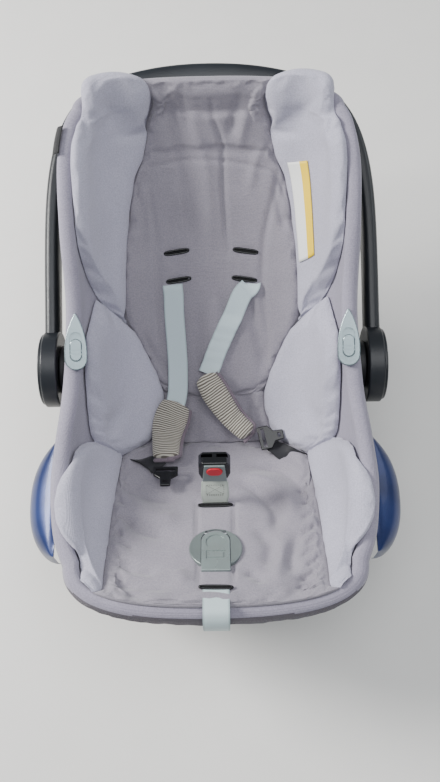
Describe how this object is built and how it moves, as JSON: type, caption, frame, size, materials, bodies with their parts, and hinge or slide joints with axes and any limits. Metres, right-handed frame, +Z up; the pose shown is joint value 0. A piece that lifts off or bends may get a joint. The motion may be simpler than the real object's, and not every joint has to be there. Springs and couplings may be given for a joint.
{
  "type": "infant car seat",
  "caption": "Rear-facing infant car seat: padded bucket shell with harness, swinging carry handle, belt hooks and rocker base.",
  "frame": {"origin": "on the floor under the middle of the seat and its resting handle", "axes": "+X across the seat, +Y towards the head end, +Z up"},
  "size_m": [0.442, 0.6876, 0.3901],
  "materials": {
    "shell_black": "satin",
    "foam_grey": "matte",
    "cover_fabric": "matte",
    "pad_fabric": "matte",
    "webbing": "satin",
    "striped_fabric": "matte",
    "black_gloss": "gloss",
    "grey_plastic": "satin",
    "red_plastic": "gloss",
    "silver_plastic": "satin",
    "navy_gloss": "gloss",
    "handle_black": "satin",
    "steel": "satin",
    "rubber_black": "matte",
    "label_white": "matte"
  },
  "bodies": {
    "seat": {"adjuster_housing": "grey_plastic", "adjuster_strap_front": "webbing", "adjuster_strap_rear": "webbing", "back_pad": "cover_fabric", "base_cross_rail": "shell_black", "belt_hook_left": "navy_gloss", "belt_hook_right": "navy_gloss", "blank_label": "label_white", "bucket_shell": "shell_black", "buckle_body": "black_gloss", "buckle_frame": "grey_plastic", "buckle_tongue_left": "black_gloss", "buckle_tongue_right": "black_gloss", "cover_border_left": "cover_fabric", "cover_border_right": "cover_fabric", "crotch_anchor_plate": "steel", "crotch_strap": "webbing", "foot_pads": "rubber_black", "harness_yoke": "steel", "head_foam_liner": "foam_grey", "headrest_pad_left": "pad_fabric", "headrest_pad_right": "pad_fabric", "lap_strap_left": "webbing", "lap_strap_right": "webbing", "latch_bars": "steel", "leg_pad_left": "pad_fabric", "leg_pad_right": "pad_fabric", "lever_pin": "steel", "lid_lugs": "shell_black", "lid_pin": "steel", "lumbar_pad": "cover_fabric", "pivot_bosses": "shell_black", "pivot_pins": "steel", "release_bezel_left": "silver_plastic", "release_bezel_right": "silver_plastic", "rocker_runner_left": "shell_black", "rocker_runner_right": "shell_black", "seat_cover": "cover_fabric", "seat_pad": "cover_fabric", "shell_screws": "steel", "shoulder_belt_guide": "navy_gloss", "shoulder_pad_left": "striped_fabric", "shoulder_pad_right": "striped_fabric", "shoulder_strap_left": "webbing", "shoulder_strap_right": "webbing", "side_pad_left": "pad_fabric", "side_pad_right": "pad_fabric", "side_tag": "black_gloss"},
    "handle": {"handle_arm_left": "handle_black", "handle_arm_right": "handle_black", "handle_grip": "handle_black", "hub_cap_left": "handle_black", "hub_cap_right": "handle_black"},
    "adjuster_lever": {"adjuster_lever": "grey_plastic"},
    "buckle_button": {"buckle_button": "red_plastic"},
    "handle_button_left": {"handle_button_left": "handle_black"},
    "handle_button_right": {"handle_button_right": "handle_black"},
    "rear_lid": {"rear_lid": "shell_black"},
    "release_slider_left": {"release_slider_left": "silver_plastic"},
    "release_slider_right": {"release_slider_right": "silver_plastic"}
  },
  "joints": [
    {"name": "handle_swing", "type": "hinge", "parent": "seat", "child": "handle", "pos_m": [0, -0.0331, 0.205], "axis": [1, 0, 0], "range_deg": [-44, 75]},
    {"name": "handle_button_left_push", "type": "slide", "parent": "handle", "child": "handle_button_left", "axis": [1, 0, 0], "range_m": [0, 0.004], "stiffness_N_per_m": 500, "springref_m": -0.004},
    {"name": "handle_button_right_push", "type": "slide", "parent": "handle", "child": "handle_button_right", "axis": [-1, 0, 0], "range_m": [0, 0.004], "stiffness_N_per_m": 500, "springref_m": -0.004},
    {"name": "release_left_slide", "type": "slide", "parent": "seat", "child": "release_slider_left", "axis": [0, 0.9135, 0.4067], "range_m": [0, 0.007], "stiffness_N_per_m": 300, "springref_m": -0.004},
    {"name": "release_right_slide", "type": "slide", "parent": "seat", "child": "release_slider_right", "axis": [0, 0.9135, 0.4067], "range_m": [0, 0.007], "stiffness_N_per_m": 300, "springref_m": -0.004},
    {"name": "buckle_button_push", "type": "slide", "parent": "seat", "child": "buckle_button", "axis": [0, 0.9563, -0.2924], "range_m": [0, 0.003], "stiffness_N_per_m": 600, "springref_m": -0.004},
    {"name": "adjuster_lever_lift", "type": "hinge", "parent": "seat", "child": "adjuster_lever", "pos_m": [0, -0.23422, 0.18237], "axis": [1, 0, 0], "range_deg": [-35, 0], "stiffness_Nm_per_rad": 0.15, "springref_deg": 28.65},
    {"name": "rear_lid_open", "type": "hinge", "parent": "seat", "child": "rear_lid", "pos_m": [0, 0.04498, 0.12922], "axis": [1, 0, 0], "range_deg": [-100, 0]}
  ]
}
